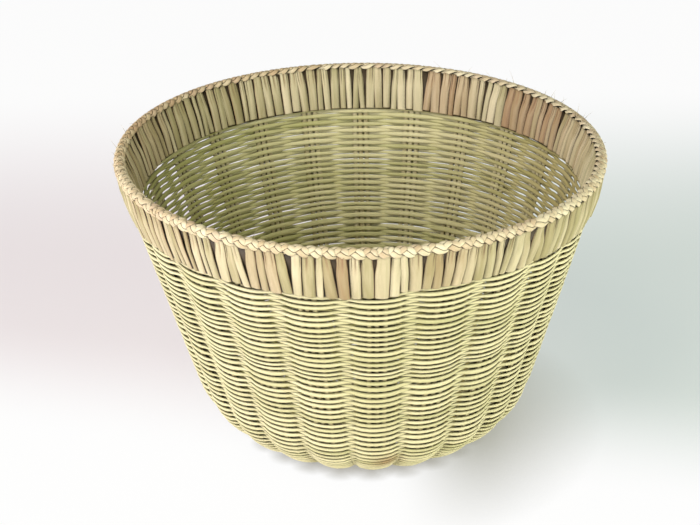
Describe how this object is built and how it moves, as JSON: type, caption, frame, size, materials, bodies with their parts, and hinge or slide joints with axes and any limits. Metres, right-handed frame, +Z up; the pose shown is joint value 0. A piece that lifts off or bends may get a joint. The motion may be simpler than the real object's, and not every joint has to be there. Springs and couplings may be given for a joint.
{
  "type": "round woven basket",
  "caption": "Round open basket with a flared twined wall over flat grouped stakes, a rounded base and a leaf-wrapped rim with a plaited top edge.",
  "frame": {"origin": "middle of the base, on the surface that the basket stands on", "axes": "+Z up along the basket's axis; X along the lower layer of base stakes, Y along the upper layer"},
  "size_m": [0.4394, 0.4394, 0.2797],
  "materials": {
    "weaver": "round peeled cane, pale straw colour, satin",
    "stake": "flat split stakes, pale and dull",
    "leaf": "folded dried leaf strips, beige with tan and greenish strips",
    "braid": "plaited dried leaf, cream with tan tints"
  },
  "bodies": {
    "root": {"lower_stake_01": "stake", "lower_stake_02": "stake", "lower_stake_03": "stake", "lower_stake_04": "stake", "lower_stake_05": "stake", "lower_stake_06": "stake", "lower_stake_07": "stake", "lower_stake_08": "stake", "lower_stake_09": "stake", "lower_stake_10": "stake", "lower_stake_11": "stake", "lower_stake_12": "stake", "lower_stake_13": "stake", "lower_stake_14": "stake", "lower_stake_15": "stake", "lower_stake_16": "stake", "lower_stake_17": "stake", "lower_stake_18": "stake", "upper_stake_01": "stake", "upper_stake_02": "stake", "upper_stake_03": "stake", "upper_stake_04": "stake", "upper_stake_05": "stake", "upper_stake_06": "stake", "upper_stake_07": "stake", "upper_stake_08": "stake", "upper_stake_09": "stake", "upper_stake_10": "stake", "upper_stake_11": "stake", "upper_stake_12": "stake", "upper_stake_13": "stake", "upper_stake_14": "stake", "upper_stake_15": "stake", "upper_stake_16": "stake", "upper_stake_17": "stake", "upper_stake_18": "stake", "base_weave": "weaver", "wall_course_1": "weaver", "wall_course_2": "weaver", "wall_course_3": "weaver", "wall_course_4": "weaver", "outer_hoop": "stake", "inner_hoop": "stake", "leaf_band": "leaf", "rim_braid": "braid"}
  },
  "joints": []
}
